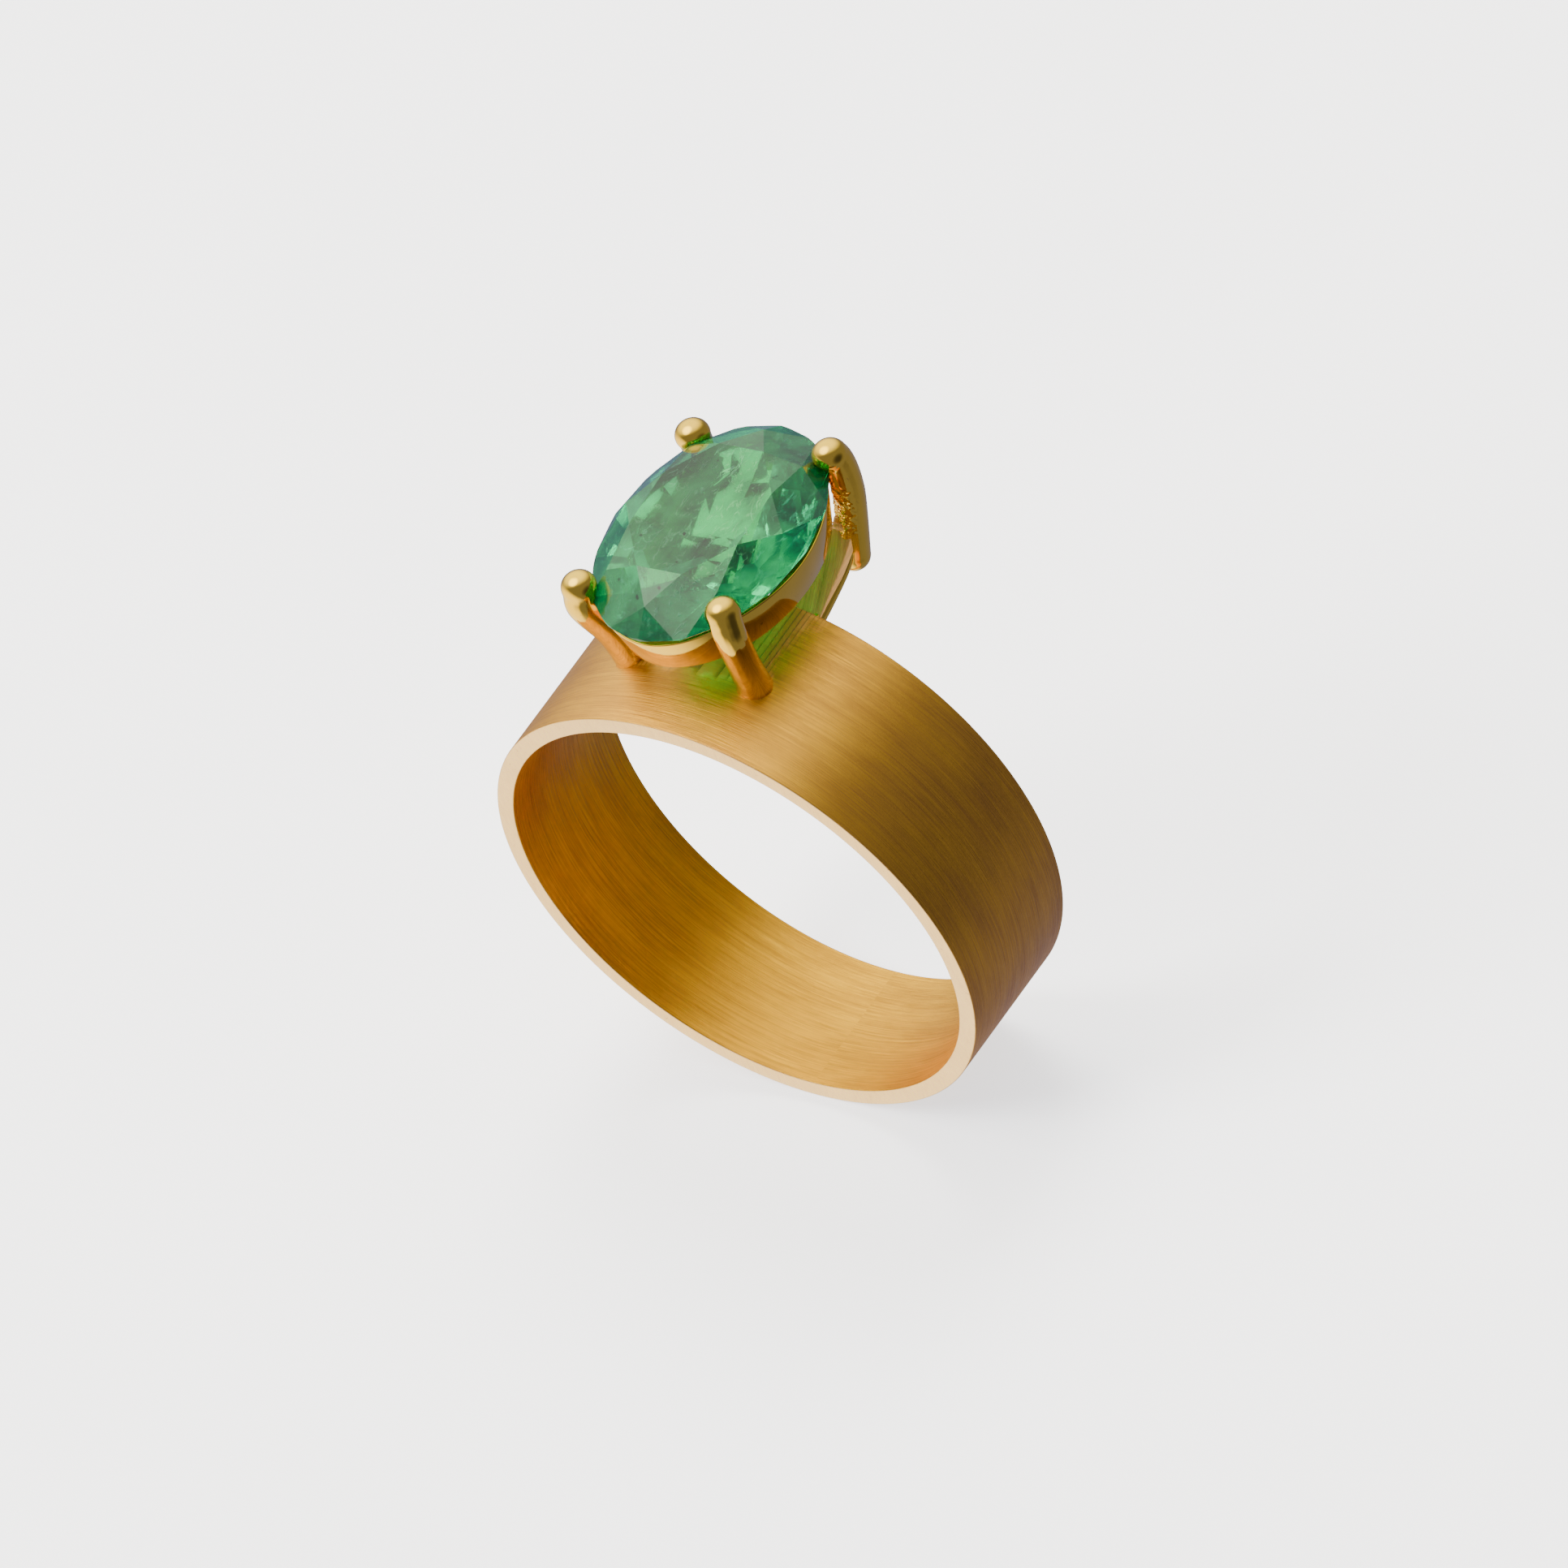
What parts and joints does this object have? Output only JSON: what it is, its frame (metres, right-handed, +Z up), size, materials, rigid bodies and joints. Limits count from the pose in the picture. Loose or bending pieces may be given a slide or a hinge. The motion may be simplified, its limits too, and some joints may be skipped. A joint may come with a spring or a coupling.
{
  "type": "cocktail ring",
  "caption": "Wide tapering gold band with an oval green gem held off centre in a tall claw head above a polished collar.",
  "frame": {"origin": "middle of the finger hole: on the finger axis, halfway between the two rims at mid height", "axes": "+Z up through the head, +Y along the finger axis towards the rim that the head overhangs, +X across the band"},
  "size_m": [0.0188, 0.0109, 0.0236],
  "materials": {
    "brushed_gold": "satin yellow gold, finely brushed round the finger",
    "polished_gold": "mirror polished yellow gold",
    "emerald": "polished facets, included green beryl"
  },
  "bodies": {
    "root": {"band": "brushed_gold", "collar": "polished_gold", "claw_front_left": "polished_gold", "claw_front_right": "polished_gold", "claw_back_left": "polished_gold", "claw_back_right": "polished_gold", "arm_left": "brushed_gold", "arm_right": "brushed_gold", "brace_left": "polished_gold", "brace_right": "polished_gold", "emerald": "emerald"}
  },
  "joints": []
}
